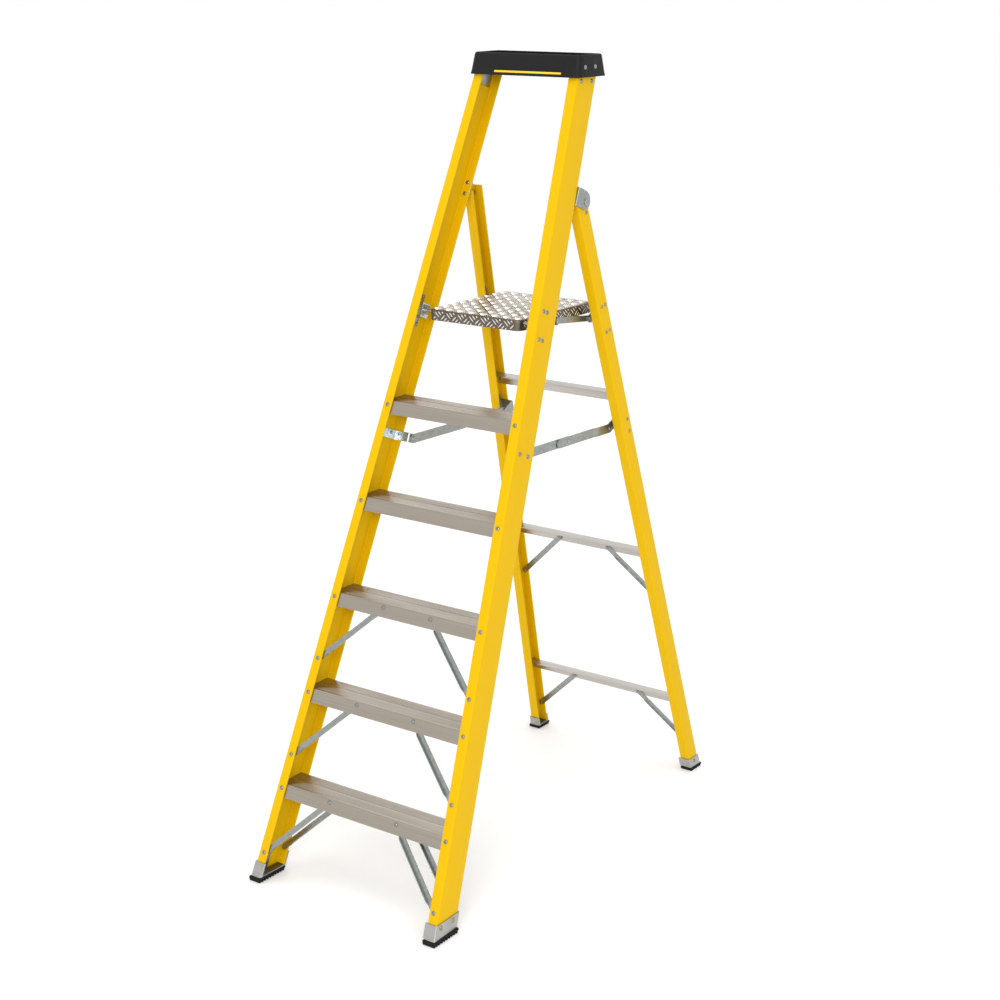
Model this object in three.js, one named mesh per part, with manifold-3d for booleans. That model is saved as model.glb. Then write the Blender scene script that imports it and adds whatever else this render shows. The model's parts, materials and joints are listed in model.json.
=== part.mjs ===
// Glass-fibre platform step ladder with five treads, a folding platform and a tool-tray cap.
// Millimetres. +X is right when facing the treads, -Y is the climber's side, +Z is up.
// The origin is on the floor, at the middle of the open ladder's footprint.
import * as THREE from 'three';
import { mergeVertices } from 'three/addons/utils/BufferGeometryUtils.js';
import Module from 'manifold-3d';

const wasm = await Module();
wasm.setup();

// ---------------------------------------------------------------- driving dimensions
const DEG = Math.PI / 180;
const GAP = 0.3;

// Front frame: two channel stiles that lean back and draw together towards the top.
const FRONT_LEAN = 21.92 * DEG;
const FRONT_TAPER = 3.62 * DEG;
const FRONT_HALF_WIDTH = 290.2;
const STILE = { flange: 27, depth: 80, wall: 4, corner: 3.5 };
const STILE_TOP_Z = 1989.5;

// Rear frame: two smaller channel legs, hung from the main hinge.
const REAR_LEAN = 15.43 * DEG;
const REAR_TAPER = 3.46 * DEG;
const REAR_HALF_WIDTH = 173.9;
const LEG = { flange: 27.8, depth: 44, wall: 4, corner: 3.5, front: -32, aboveHinge: 18 };

// Points on the front frame are (along the stile from the floor, depth behind its front face).
const HINGE = { along: 1832, depth: 121 };
const PLATFORM_PIVOT = { along: 1499, depth: 26.5 };
const STAY_FRONT_PIVOT = { along: 1178, depth: 89 };
// Points on the rear frame are (along the leg from the hinge, depth behind the hinge).
const ARM_REAR_PIVOT = { along: -313, depth: -12 };
const STAY_REAR_PIVOT = { along: -618.6, depth: -28 };

// Treads, rungs and their braces.
const TREAD_PITCH = 250;
const TREAD_FIRST = 257.5;
const TREAD_COUNT = 5;
const TREAD = { skirt: 34.8, wall: 2.2 };
const RUNGS = { upper: -521, middle: -998.5, lower: -1476 };
const RUNG = { height: 33.5, wall: 2.5, front: -16.5, back: 7.7 };
const BRACE = { width: 15, wall: 2.5, webToRivet: 16 };
const TREAD_BRACE = { across: 163.7, low: [77, 333, 584.5], rivetBelowTread: 10.5 };
const TREAD_REAR_BRACE = { across: 176, top: 270, low: 92 };
const RUNG_BRACE = { across: 148, top: 22.5, low: 164.5 };

// Platform, its arms and the folding stays.
const DECK = { halfWidth: 141, front: 565, back: 892, top: 1389.5, height: 27, wall: 3, corner: 20 };
const PLATFORM_BRACKET = { face: 164, near: 12, far: 41, below: 20, above: 18, flap: 22 };
const ARM = { frontLength: 141.1, inner: 141.6, wall: 3, deep: 16, slim: 15 };
const STAY = { height: 24, wall: 3, frontLength: 224, inner: 159.8, lap: 40, joggle: 3.4 };
const PLATE = 3;
const PIN = 4.5;

// Feet and cap.
const FOOT = { base: 2.5, wrap: 2.9, tooth: 10, groove: 3.5 };
const FRONT_FOOT = { pad: 12.5, top: 48 };
const REAR_FOOT = { pad: 9, top: 36 };
const CAP = { bottom: 1954, top: 2007.5, wall: 3, tray: 9, floor: 5, corner: 14 };
const CAP_BOTTOM = { front: 776, back: 904, halfWidth: 166.5 };
const CAP_TOP = { front: 789, back: 895, halfWidth: 162 };

// ---------------------------------------------------------------- materials
const finish = (color, roughness, metalness) => new THREE.MeshStandardMaterial({ color, roughness, metalness });
const YELLOW_FIBREGLASS = finish(0xf5c211, 0.45, 0);
const TREAD_ALUMINIUM = finish(0xb9ae9f, 0.4, 0.9);
const DECK_ALUMINIUM = finish(0xc6c3bd, 0.3, 0.95);
const SHOE_ALUMINIUM = finish(0xb4b4b2, 0.4, 0.9);
const ZINC_STEEL = finish(0x8c9394, 0.4, 0.85);
const BRIGHT_STEEL = finish(0xb9bcc0, 0.3, 0.95);
const BLACK_PLASTIC = finish(0x17181a, 0.55, 0);
const BLACK_RUBBER = finish(0x121212, 0.85, 0);

// ---------------------------------------------------------------- solids
function solidOf(geometry) {
  const bare = geometry.clone();
  bare.deleteAttribute('normal');
  bare.deleteAttribute('uv');
  const merged = mergeVertices(bare, 1e-4);
  const vertProperties = new Float32Array(merged.attributes.position.array);
  const triVerts = new Uint32Array(merged.index.array);
  return new wasm.Manifold(new wasm.Mesh({ numProp: 3, vertProperties, triVerts }));
}

function geometryOf(solid) {
  const data = solid.getMesh();
  const geometry = new THREE.BufferGeometry();
  geometry.setAttribute('position', new THREE.BufferAttribute(new Float32Array(data.vertProperties), 3));
  geometry.setIndex(new THREE.BufferAttribute(new Uint32Array(data.triVerts), 1));
  geometry.computeVertexNormals();
  return geometry;
}

const join = (first, ...rest) => geometryOf(rest.reduce((sum, g) => sum.add(solidOf(g)), solidOf(first)));
const cut = (first, ...rest) => geometryOf(rest.reduce((sum, g) => sum.subtract(solidOf(g)), solidOf(first)));
const common = (first, second) => geometryOf(solidOf(first).intersect(solidOf(second)));

function mirrored(geometry) {
  return geometryOf(solidOf(geometry).mirror([1, 0, 0]));
}

// ---------------------------------------------------------------- outlines and prisms
function prism(points, length) {
  const shape = new THREE.Shape(points.map(([x, y]) => new THREE.Vector2(x, y)));
  return new THREE.ExtrudeGeometry(shape, { depth: length, bevelEnabled: false });
}

// An outline drawn in (y, z), extruded along X from low to high.
function acrossX(points, low, high) {
  const turn = new THREE.Matrix4().set(0, 0, 1, low, 1, 0, 0, 0, 0, 1, 0, 0, 0, 0, 0, 1);
  return prism(points, high - low).applyMatrix4(turn);
}

// An outline drawn in (x, y), extruded along Z from low to high.
const alongZ = (points, low, high) => prism(points, high - low).translate(0, 0, low);

const box = (x, y, z) => alongZ([[x[0], y[0]], [x[1], y[0]], [x[1], y[1]], [x[0], y[1]]], z[0], z[1]);

function arc(cx, cy, radius, from, to, steps) {
  const points = [];
  for (let i = 0; i <= steps; i++) {
    const angle = from + ((to - from) * i) / steps;
    points.push([cx + radius * Math.cos(angle), cy + radius * Math.sin(angle)]);
  }
  return points;
}

function roundedRectangle(left, right, low, high, radius, steps) {
  return [
    ...arc(right - radius, high - radius, radius, 0, Math.PI / 2, steps),
    ...arc(left + radius, high - radius, radius, Math.PI / 2, Math.PI, steps),
    ...arc(left + radius, low + radius, radius, Math.PI, Math.PI * 1.5, steps),
    ...arc(right - radius, low + radius, radius, Math.PI * 1.5, Math.PI * 2, steps),
  ];
}

// A bar with round ends between two points of a plane.
function roundBar(from, to, width) {
  const heading = Math.atan2(to[1] - from[1], to[0] - from[0]);
  return [
    ...arc(from[0], from[1], width / 2, heading + Math.PI / 2, heading + Math.PI * 1.5, 6),
    ...arc(to[0], to[1], width / 2, heading - Math.PI / 2, heading + Math.PI / 2, 6),
  ];
}

function rod(radius, low, high, y, z) {
  return acrossX(arc(y, z, radius, 0, Math.PI * 1.875, 15), low, high);
}

// ---------------------------------------------------------------- frames
const assembly = new THREE.Group();
const frontFrame = new THREE.Group();
const rearFrame = new THREE.Group();
frontFrame.rotation.x = -FRONT_LEAN;
rearFrame.rotation.x = REAR_LEAN;
assembly.add(frontFrame, rearFrame);

// From (along, depth) on a leaning frame to (y, z) behind the front edge of the floor line.
const frontPoint = ({ along, depth }) => ({
  y: along * Math.sin(FRONT_LEAN) + depth * Math.cos(FRONT_LEAN),
  z: along * Math.cos(FRONT_LEAN) - depth * Math.sin(FRONT_LEAN),
});
const hinge = frontPoint(HINGE);
const rearPoint = ({ along, depth }) => ({
  y: hinge.y - along * Math.sin(REAR_LEAN) + depth * Math.cos(REAR_LEAN),
  z: hinge.z + along * Math.cos(REAR_LEAN) + depth * Math.sin(REAR_LEAN),
});
rearFrame.position.set(0, hinge.y, hinge.z);

// Half width over the webs, and the place along a member where it meets a level plane.
const frontHalf = (along) => FRONT_HALF_WIDTH - along * Math.tan(FRONT_TAPER);
const rearHalf = (along) => REAR_HALF_WIDTH - along * Math.tan(REAR_TAPER);
const frontLevel = (z) => (depth) => (z + depth * Math.sin(FRONT_LEAN)) / Math.cos(FRONT_LEAN);
const rearLevel = (z) => (depth) => (z - hinge.z - depth * Math.sin(REAR_LEAN)) / Math.cos(REAR_LEAN);

// A profile drawn in (x from the outer web face, depth), run along a member between two end faces.
function member(profile, lowEnd, highEnd, half) {
  const geometry = prism(profile, 1);
  const position = geometry.attributes.position;
  for (let i = 0; i < position.count; i++) {
    const depth = position.getY(i);
    const along = position.getZ(i) < 0.5 ? lowEnd(depth) : highEnd(depth);
    position.setXYZ(i, position.getX(i) + half(along), depth, along);
  }
  return geometry;
}

// An outline drawn in (depth, along), run across X until it meets both webs.
function crossMember(outline, half) {
  const geometry = acrossX(outline, -1, 1);
  const position = geometry.attributes.position;
  for (let i = 0; i < position.count; i++) {
    position.setX(i, position.getX(i) * half(position.getZ(i)));
  }
  return geometry;
}

function add(name, geometry, material, parent) {
  const mesh = new THREE.Mesh(geometry, material);
  mesh.name = name;
  parent.add(mesh);
}

function addPair(name, rightGeometry, material, parent) {
  add(`${name}_right`, rightGeometry, material, parent);
  add(`${name}_left`, mirrored(rightGeometry), material, parent);
}

// ---------------------------------------------------------------- stiles and legs
// A channel open towards the middle of the ladder, with rounded outer corners.
function channelProfile({ flange, depth, wall, corner }, front) {
  const back = front + depth;
  return [
    [-flange, front],
    ...arc(-corner, front + corner, corner, -Math.PI / 2, 0, 3),
    ...arc(-corner, back - corner, corner, 0, Math.PI / 2, 3),
    [-flange, back],
    [-flange, back - wall],
    [-wall, back - wall],
    [-wall, front + wall],
    [-flange, front + wall],
  ];
}

function frontStile() {
  const bottom = frontLevel(FRONT_FOOT.pad + FOOT.base + 2 * GAP);
  return member(channelProfile(STILE, 0), bottom, frontLevel(STILE_TOP_Z), frontHalf);
}

function rearLeg() {
  const bottom = rearLevel(REAR_FOOT.pad + FOOT.base + 2 * GAP);
  const top = () => LEG.aboveHinge;
  const leg = member(channelProfile(LEG, LEG.front), bottom, top, rearHalf);
  return cut(leg, rod(6.4, 140, 200, 0, 0));
}

addPair('front_stile', frontStile(), YELLOW_FIBREGLASS, frontFrame);
addPair('rear_leg', rearLeg(), YELLOW_FIBREGLASS, rearFrame);

// ---------------------------------------------------------------- treads and rungs
// A level top with skirts that lie against both flanges.
function tread(number) {
  const front = STILE.wall + GAP;
  const back = STILE.depth - STILE.wall - GAP;
  const rise = (depth) => TREAD_FIRST + (number - 1) * TREAD_PITCH + (depth - front) * Math.tan(FRONT_LEAN);
  const { skirt, wall } = TREAD;
  const outline = [
    [front, rise(front)],
    [front, rise(front) - skirt],
    [front + wall, rise(front) - skirt],
    [front + wall, rise(front + wall) - wall],
    [back - wall, rise(back - wall) - wall],
    [back - wall, rise(back) - skirt],
    [back, rise(back) - skirt],
    [back, rise(back)],
  ];
  return crossMember(outline, (along) => frontHalf(along) - STILE.wall - GAP);
}

for (let number = 1; number <= TREAD_COUNT; number++) {
  add(`tread_${number}`, tread(number), TREAD_ALUMINIUM, frontFrame);
}

// An angle: a plate square to the legs, and a wall down against the legs' rear flanges.
function rung(top) {
  const { height, wall, front, back } = RUNG;
  const outline = [
    [front, top],
    [front, top - wall],
    [back - wall, top - wall],
    [back - wall, top - height],
    [back, top - height],
    [back, top],
  ];
  return crossMember(outline, (along) => rearHalf(along) - LEG.wall - GAP);
}

for (const [place, top] of Object.entries(RUNGS)) {
  add(`rear_rung_${place}`, rung(top), TREAD_ALUMINIUM, rearFrame);
}

// ---------------------------------------------------------------- braces
// A flat strap between two rivets, from [x, along, depth of its front face] to the same lower down.
// Its upper end is cut square at the limit, under the tread or rung.
function strap(top, low, limit) {
  const above = box([-top[0], top[0] * 2], [limit, limit + BRACE.width], [-1, BRACE.wall + 1]);
  const bar = cut(prism(roundBar(top, low, BRACE.width), BRACE.wall), above);
  const position = bar.attributes.position;
  for (let i = 0; i < position.count; i++) {
    const along = position.getY(i);
    const face = low[2] + ((top[2] - low[2]) * (along - low[1])) / (top[1] - low[1]);
    position.setXYZ(i, position.getX(i), face + BRACE.wall - position.getZ(i), along);
  }
  return bar;
}

function treadBrace(number) {
  const { across, rivetBelowTread } = TREAD_BRACE;
  const top = TREAD_FIRST + (number - 1) * TREAD_PITCH - rivetBelowTread;
  const low = TREAD_BRACE.low[number - 1];
  const x = frontHalf(low) - BRACE.webToRivet;
  const face = STILE.wall + 2 * GAP;
  const limit = top + rivetBelowTread - TREAD.wall - GAP;
  return strap([x - across, top, face + TREAD.wall + GAP], [x, low, face], limit);
}

function rearTreadBrace() {
  const { across, top, low } = TREAD_REAR_BRACE;
  const x = frontHalf(low) - BRACE.webToRivet;
  const face = STILE.depth - STILE.wall - BRACE.wall - 2 * GAP;
  return strap([x - across, top, face - TREAD.wall - GAP], [x, low, face], top + 6);
}

function rungBrace(rungTop) {
  const top = rungTop - RUNG_BRACE.top;
  const low = rungTop - RUNG_BRACE.low;
  const x = rearHalf(low) - BRACE.webToRivet;
  const face = RUNG.back - BRACE.wall;
  return strap([x - RUNG_BRACE.across, top, face - RUNG.wall - GAP], [x, low, face], top + BRACE.width / 2);
}

for (const number of [1, 2, 3]) {
  addPair(`tread_${number}_brace`, treadBrace(number), ZINC_STEEL, frontFrame);
}
addPair('tread_1_rear_brace', rearTreadBrace(), ZINC_STEEL, frontFrame);
for (const place of ['middle', 'lower']) {
  addPair(`${place}_rung_brace`, rungBrace(RUNGS[place]), ZINC_STEEL, rearFrame);
}

// ---------------------------------------------------------------- feet
// A shoe wraps three sides of a channel's end above a base plate; a ridged pad lies below it.
function shoe({ flange, depth }, front, { pad, top }, level, half) {
  const near = front - GAP;
  const far = front + depth + GAP;
  const wrap = [
    [-flange - 1, near - FOOT.wrap],
    [GAP + FOOT.wrap, near - FOOT.wrap],
    [GAP + FOOT.wrap, far + FOOT.wrap],
    [-flange - 1, far + FOOT.wrap],
    [-flange - 1, far],
    [GAP, far],
    [GAP, near],
    [-flange - 1, near],
  ];
  const bottom = pad + GAP;
  const plate = member(wrap.slice(0, 4), level(bottom), level(bottom + FOOT.base), half);
  return join(member(wrap, level(bottom), level(top), half), plate);
}

// The pads are level, so they are drawn in the ladder's own axes at half their thickness.
function footPad({ flange, depth }, front, thick, lean, footY, half) {
  const margin = FOOT.wrap + 2;
  const near = footY + (front - margin) / Math.cos(lean);
  const far = footY + (front + depth + margin) / Math.cos(lean);
  const teeth = Math.round((far - near) / FOOT.tooth);
  const pitch = (far - near) / teeth;
  const outline = [[near, thick]];
  for (let i = 0; i < teeth; i++) {
    const start = near + i * pitch;
    outline.push([start, 0], [start + pitch * 0.55, 0]);
    outline.push([start + pitch * 0.7, FOOT.groove], [start + pitch * 0.85, FOOT.groove]);
  }
  outline.push([far, FOOT.groove], [far, thick]);
  return acrossX(outline, half - flange - 3, half + margin);
}

addPair('front_shoe', shoe(STILE, 0, FRONT_FOOT, frontLevel, frontHalf), SHOE_ALUMINIUM, frontFrame);
addPair('rear_shoe', shoe(LEG, LEG.front, REAR_FOOT, rearLevel, rearHalf), SHOE_ALUMINIUM, rearFrame);

function frontPad() {
  const middle = FRONT_FOOT.pad / 2;
  const footY = middle * Math.tan(FRONT_LEAN);
  return footPad(STILE, 0, FRONT_FOOT.pad, FRONT_LEAN, footY, frontHalf(frontLevel(middle)(0)));
}

function rearPad() {
  const middle = REAR_FOOT.pad / 2;
  const footY = hinge.y + (hinge.z - middle) * Math.tan(REAR_LEAN);
  return footPad(LEG, LEG.front, REAR_FOOT.pad, REAR_LEAN, footY, rearHalf(rearLevel(middle)(0)));
}

addPair('front_foot_pad', frontPad(), BLACK_RUBBER, assembly);
addPair('rear_foot_pad', rearPad(), BLACK_RUBBER, assembly);

// ---------------------------------------------------------------- top cap
// Half width, half depth and middle of the cap's outline, drawn some way inside its own faces.
function capSize({ front, back, halfWidth }, inset) {
  return [halfWidth - inset, (back - front) / 2 - inset, (back + front) / 2];
}

// A block whose outline shrinks upwards, drawn some way inside the cap's own faces.
function cappedBlock(low, high, inset) {
  const [reach, deep, middle] = capSize(CAP_BOTTOM, inset);
  const [topReach, topDeep, topMiddle] = capSize(CAP_TOP, inset);
  const block = alongZ(roundedRectangle(-reach, reach, -deep, deep, CAP.corner - inset, 4), low, high);
  const position = block.attributes.position;
  for (let i = 0; i < position.count; i++) {
    const share = (position.getZ(i) - CAP.bottom) / (CAP.top - CAP.bottom);
    const x = position.getX(i) * (1 + (topReach / reach - 1) * share);
    const y = position.getY(i) * (1 + (topDeep / deep - 1) * share);
    position.setXYZ(i, x, middle + (topMiddle - middle) * share + y, position.getZ(i));
  }
  return block;
}

function topCap() {
  const { bottom, top, wall, tray, floor } = CAP;
  const cavity = cappedBlock(bottom - 5, top - tray - floor, wall);
  const [reach, deep, middle] = capSize(CAP_TOP, wall * 2);
  const opening = roundedRectangle(-reach, reach, middle - deep, middle + deep, CAP.corner - wall * 2, 4);
  const recess = alongZ(opening, top - tray, top + 5);
  return cut(cappedBlock(bottom, top, 0), cavity, recess);
}

// A plate on the inner face of a web, between two places along its member.
function webPlate(channel, near, far, low, high, half) {
  const outer = -channel.wall - GAP;
  const outline = [
    [outer - PLATE, near],
    [outer, near],
    [outer, far],
    [outer - PLATE, far],
  ];
  return member(outline, () => low, () => high, half);
}

add('top_cap', topCap(), BLACK_PLASTIC, assembly);
addPair('cap_bracket', webPlate(STILE, 10, 66, 2092, 2142, frontHalf), ZINC_STEEL, frontFrame);

// ---------------------------------------------------------------- main hinge
const hingeEar = frontHalf(HINGE.along) + 1.4;

// A plate on the stile's rear flange, bent back into a round-ended ear outside the leg.
function hingeBracket() {
  const { along, depth } = HINGE;
  const face = STILE.depth + GAP;
  const ear = [
    [face, along + 26],
    [face, along - 20],
    ...arc(depth - 3, along, 20, -Math.PI / 2, 0, 5),
    ...arc(depth - 9, along, 26, 0, Math.PI / 2, 5),
  ];
  const outer = hingeEar + PLATE;
  const plate = box([outer - 30, outer], [face, face + PLATE], [along - 20, along + 38]);
  return cut(join(acrossX(ear, hingeEar, outer), plate), rod(6.4, hingeEar - 5, outer + 5, depth, along));
}

function hingePin() {
  const { along, depth } = HINGE;
  const outer = hingeEar + PLATE + GAP;
  const inner = rearHalf(0) - LEG.wall - 1;
  return join(
    rod(9, outer, outer + 3.5, depth, along),
    rod(6, inner - 1, outer + 1, depth, along),
    rod(7.2, inner - 4, inner, depth, along),
  );
}

addPair('hinge_bracket', hingeBracket(), BRIGHT_STEEL, frontFrame);
addPair('hinge_pin', hingePin(), BRIGHT_STEEL, frontFrame);

// The point a given distance from one pivot towards another.
function between(from, to, distance) {
  const share = distance / Math.hypot(to.y - from.y, to.z - from.z);
  return { y: from.y + (to.y - from.y) * share, z: from.z + (to.z - from.z) * share };
}

// ---------------------------------------------------------------- platform
const platformPivot = frontPoint(PLATFORM_PIVOT);
const armRearPivot = rearPoint(ARM_REAR_PIVOT);
const armFrontPivot = between(platformPivot, armRearPivot, ARM.frontLength);

// A pressed pan with a pivot hole and a lug for the arm in each side wall.
function platformDeck() {
  const { halfWidth, front, back, top, height, wall, corner } = DECK;
  const inside = halfWidth - wall;
  const outline = roundedRectangle(-halfWidth, halfWidth, front, back, corner, 4);
  const hollow = roundedRectangle(-inside, inside, front + wall, back - wall, corner - wall, 4);
  const pan = cut(alongZ(outline, top - height, top), alongZ(hollow, top - height - 5, top - wall));
  const { y, z } = armFrontPivot;
  const lug = acrossX(roundBar([y, top - height + 10], [y, z], 24), inside, halfWidth);
  const hole = rod(PIN + 0.5, inside - 5, halfWidth + 5, platformPivot.y, platformPivot.z);
  return cut(join(pan, lug, mirrored(lug)), hole, mirrored(hole));
}

// Pressed like a hat: two flaps on the stile's web, and between them a raised face for the pin.
function platformBracket() {
  const { along, depth } = PLATFORM_PIVOT;
  const { face, near, far, below, above, flap } = PLATFORM_BRACKET;
  const low = along - below;
  const high = along + above;
  const base = webPlate(STILE, near, far, low - flap, high + flap, frontHalf);
  const reach = [face, frontHalf(along) - STILE.wall - GAP - 1];
  const lower = box(reach, [near, far], [low, low + PLATE]);
  const upper = box(reach, [near, far], [high - PLATE, high]);
  const raised = box([face, face + PLATE], [near, far], [low, high]);
  return cut(join(base, lower, upper, raised), rod(PIN + 0.5, face - 5, face + 8, depth, along));
}

// A headed pin through the platform's side wall and the bracket's raised face.
function platformPin() {
  const inside = DECK.halfWidth - DECK.wall - 1.5;
  const outside = PLATFORM_BRACKET.face + PLATE + GAP;
  const { along, depth } = PLATFORM_PIVOT;
  const shaft = rod(PIN, inside - 1, outside + 1, depth, along);
  return join(shaft, rod(5.2, inside - 4, inside, depth, along), rod(7, outside, outside + 3, depth, along));
}

function platformArm() {
  const { inner, wall, deep, slim } = ARM;
  const from = armFrontPivot;
  const to = armRearPivot;
  const heading = Math.atan2(to.z - from.z, to.y - from.y);
  const quarter = Math.PI / 2;
  const outline = [
    ...arc(from.y, from.z, deep / 2, heading + quarter, heading + 3 * quarter, 6),
    ...arc(to.y, to.z, slim / 2, heading - quarter, heading + quarter, 6),
  ];
  return cut(acrossX(outline, inner, inner + wall), rod(PIN + 0.5, inner - 5, inner + 8, to.y, to.z));
}

// A plate on the leg's web, a riser along the rear flange, and an ear forward round a pivot.
function legBracket({ along, depth }, { near, low, high, inner, tip }) {
  const back = LEG.depth + LEG.front - LEG.wall - GAP;
  const base = webPlate(LEG, near, back, low, high, rearHalf);
  const webInside = rearHalf(along) - LEG.wall - GAP - PLATE + 1;
  const earHigh = along + tip + 4;
  const earLow = along - tip - 4;
  const riser = box([inner, webInside], [back - PLATE, back], [earLow, earHigh]);
  const ear = [
    [back, earLow],
    [back, earHigh],
    ...arc(depth, along, tip, Math.PI / 2, Math.PI * 1.5, 8),
  ];
  const solid = join(base, riser, acrossX(ear, inner, inner + PLATE));
  return cut(solid, rod(PIN + 0.5, inner - 5, inner + 8, depth, along));
}

// The arm's rear pin stops inside the arm, clear of the platform.
function armPin() {
  const ear = ARM.inner + ARM.wall + 2 * GAP;
  const { along, depth } = ARM_REAR_PIVOT;
  const outer = ear + PLATE + GAP;
  return join(rod(PIN, ARM.inner + GAP, outer + 1, depth, along), rod(7, outer, outer + 3, depth, along));
}

const armBracketShape = { near: -24, low: -355, high: -265, inner: ARM.inner + ARM.wall + 2 * GAP, tip: 11 };
add('platform_deck', platformDeck(), DECK_ALUMINIUM, assembly);
addPair('platform_bracket', platformBracket(), ZINC_STEEL, frontFrame);
addPair('platform_pin', platformPin(), BRIGHT_STEEL, frontFrame);
addPair('platform_arm', platformArm(), ZINC_STEEL, assembly);
addPair('rear_platform_bracket', legBracket(ARM_REAR_PIVOT, armBracketShape), ZINC_STEEL, rearFrame);
addPair('platform_arm_pin', armPin(), BRIGHT_STEEL, rearFrame);

// ---------------------------------------------------------------- spreader stays
const stayFront = frontPoint(STAY_FRONT_PIVOT);
const stayRear = rearPoint(STAY_REAR_PIVOT);
const stayMiddle = between(stayFront, stayRear, STAY.frontLength);
const rearLink = STAY.inner + STAY.wall + 0.4;

// A plate on the stile's web, a strip along the rear flange, and a tail rearwards round the pivot.
function stayFrontBracket() {
  const { along, depth } = STAY_FRONT_PIVOT;
  const back = STILE.depth - STILE.wall - GAP;
  const half = STAY.height / 2;
  const webInside = frontHalf(along) - STILE.wall - GAP - PLATE + 1;
  const base = webPlate(STILE, 12, back, along - half, along + half, frontHalf);
  const strip = box([rearLink, webInside], [back - PLATE, back], [along - half, along + half]);
  const tail = [
    [back - PLATE, along + half],
    [back - PLATE, along - half],
    ...arc(depth, along, half, -Math.PI / 2, Math.PI / 2, 8),
  ];
  const solid = join(base, strip, acrossX(tail, rearLink, rearLink + PLATE));
  return cut(solid, rod(PIN, rearLink - 5, rearLink + 8, depth, along));
}

function stayFrontLink() {
  const from = [stayFront.y, stayFront.z];
  const to = [stayMiddle.y, stayMiddle.z];
  const { inner, wall, height } = STAY;
  return cut(acrossX(roundBar(from, to, height), inner, inner + wall), rod(PIN, inner - 5, inner + 8, ...to));
}

// The middle pin is carried by the front link and stops short of the rear link.
function stayMiddlePin() {
  const { inner, wall } = STAY;
  const { y, z } = stayMiddle;
  return join(rod(7, inner - 3, inner - GAP, y, z), rod(PIN - GAP, inner - 1, inner + wall - GAP, y, z));
}

// The rear link laps the front link, and steps outwards before it reaches the leg's bracket.
function stayRearLink() {
  const { y, z } = stayMiddle;
  const length = Math.hypot(stayRear.y - y, stayRear.z - z);
  const tilt = Math.atan2(stayRear.z - z, stayRear.y - y);
  const { height, wall, lap, joggle } = STAY;
  const side = [
    [-lap - height / 2, 0],
    [length - 80, 0],
    [length - 60, joggle],
    [length + height / 2, joggle],
    [length + height / 2, joggle + wall],
    [length - 60.5, joggle + wall],
    [length - 80.5, wall],
    [-lap - height / 2, wall],
  ];
  const turn = new THREE.Matrix4().set(0, 1, 0, rearLink, 1, 0, 0, 0, 0, 0, -1, height / 2, 0, 0, 0, 1);
  const bar = prism(side, height).applyMatrix4(turn);
  const round = acrossX(roundBar([-lap, 0], [length, 0], height), rearLink - 5, rearLink + 12);
  const link = cut(common(bar, round), rod(PIN, rearLink - 5, rearLink + 12, length, 0));
  return link.rotateX(tilt).translate(0, y, z);
}

const stayBracketShape = { near: -13, low: -646, high: -590, inner: rearLink, tip: 11 };
addPair('spreader_front_bracket', stayFrontBracket(), ZINC_STEEL, frontFrame);
addPair('spreader_front_link', stayFrontLink(), ZINC_STEEL, assembly);
addPair('spreader_mid_pin', stayMiddlePin(), BRIGHT_STEEL, assembly);
addPair('spreader_rear_link', stayRearLink(), ZINC_STEEL, assembly);
addPair('spreader_rear_bracket', legBracket(STAY_REAR_PIVOT, stayBracketShape), ZINC_STEEL, rearFrame);

// ---------------------------------------------------------------- hand over
// The origin moves to the middle of the footprint.
const bounds = new THREE.Box3().setFromObject(assembly);
assembly.position.y = -(bounds.min.y + bounds.max.y) / 2;

export default assembly;
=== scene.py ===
import json
import math

import bmesh
import bpy
from mathutils import Matrix, Quaternion, Vector


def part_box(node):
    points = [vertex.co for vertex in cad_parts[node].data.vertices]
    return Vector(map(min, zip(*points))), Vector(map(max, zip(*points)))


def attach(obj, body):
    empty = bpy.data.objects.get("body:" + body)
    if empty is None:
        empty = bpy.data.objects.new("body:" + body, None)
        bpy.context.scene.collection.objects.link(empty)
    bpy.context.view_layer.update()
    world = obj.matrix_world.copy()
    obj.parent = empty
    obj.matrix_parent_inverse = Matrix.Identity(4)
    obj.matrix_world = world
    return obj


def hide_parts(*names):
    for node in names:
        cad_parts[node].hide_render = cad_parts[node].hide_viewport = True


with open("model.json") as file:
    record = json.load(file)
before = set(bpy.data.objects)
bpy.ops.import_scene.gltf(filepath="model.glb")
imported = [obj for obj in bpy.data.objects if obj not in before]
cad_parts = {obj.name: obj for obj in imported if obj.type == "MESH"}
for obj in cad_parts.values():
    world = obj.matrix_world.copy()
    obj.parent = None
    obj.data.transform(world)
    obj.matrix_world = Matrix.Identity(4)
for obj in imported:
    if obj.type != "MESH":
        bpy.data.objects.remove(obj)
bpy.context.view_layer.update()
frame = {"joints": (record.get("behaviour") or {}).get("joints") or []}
scene = bpy.context.scene

# ---------------------------------------------------------------- dimensions
MM = 0.001
DEG = math.pi / 180
GAP = 0.3

# The same driving dimensions as the solids: leans, tapers and channel sizes.
FRONT_LEAN = 21.92 * DEG
FRONT_TAPER = math.tan(3.62 * DEG)
FRONT_HALF_WIDTH = 290.2
REAR_LEAN = 15.43 * DEG
REAR_TAPER = math.tan(3.46 * DEG)
REAR_HALF_WIDTH = 173.9
# Channels; `front` is the depth of a channel's front face.
STILE = {"flange": 27, "depth": 80, "wall": 4, "front": 0}
LEG = {"flange": 27.8, "depth": 44, "wall": 4, "front": -32}
STILE_TOP_Z = 1989.5
LEG_ABOVE_HINGE = 18
# Thickness of the pads, and height of the shoes' upper edges.
FRONT_FOOT = (12.5, 48)
REAR_FOOT = (9, 36)
SHOE_BASE = 2.5
SHOE_WALL = 2.9

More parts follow.
